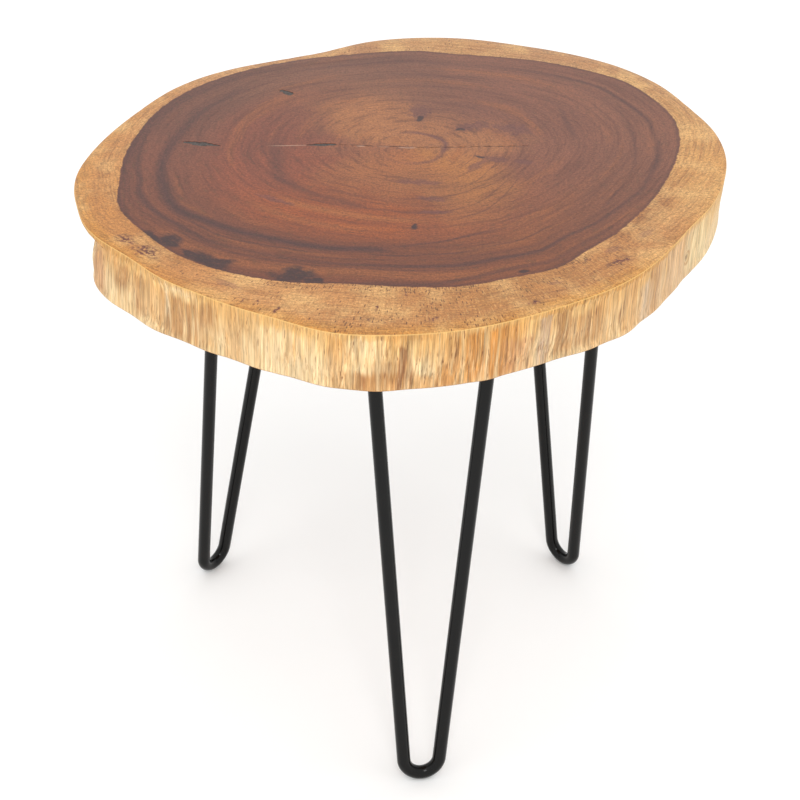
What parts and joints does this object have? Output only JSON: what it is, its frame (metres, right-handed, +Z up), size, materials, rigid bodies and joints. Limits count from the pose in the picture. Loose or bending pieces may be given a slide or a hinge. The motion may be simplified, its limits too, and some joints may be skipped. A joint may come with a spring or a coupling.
{
  "type": "side table",
  "caption": "Side table: a thick round of tree trunk with its live edge, planed and clear finished, on fixed black steel hairpin legs that lean outwards.",
  "frame": {"origin": "on the floor, below the middle of the slab's bounding box, which is the middle of the whole table's", "axes": "+Z up, square to the table top; -Y is the front, where the single front leg stands; +X to the right seen from the front"},
  "size_m": [0.5018, 0.5113, 0.458],
  "materials": {
    "slab_wood": "clear satin lacquer",
    "crack_filler": "dark resin filler, planed flush",
    "black_rod": "gloss black",
    "black_plate": "gloss black",
    "black_weld": "gloss black over the weld",
    "screw_zinc": "zinc plated"
  },
  "bodies": {
    "root": {"slab": "slab_wood", "centre_check_fill": "crack_filler", "rear_crack_fill": "crack_filler", "left_crack_fill": "crack_filler", "left_hairpin_rod": "black_rod", "left_mounting_plate": "black_plate", "left_weld_beads": "black_weld", "left_plate_screws": "screw_zinc", "front_hairpin_rod": "black_rod", "front_mounting_plate": "black_plate", "front_weld_beads": "black_weld", "front_plate_screws": "screw_zinc", "right_hairpin_rod": "black_rod", "right_mounting_plate": "black_plate", "right_weld_beads": "black_weld", "right_plate_screws": "screw_zinc"}
  },
  "joints": []
}
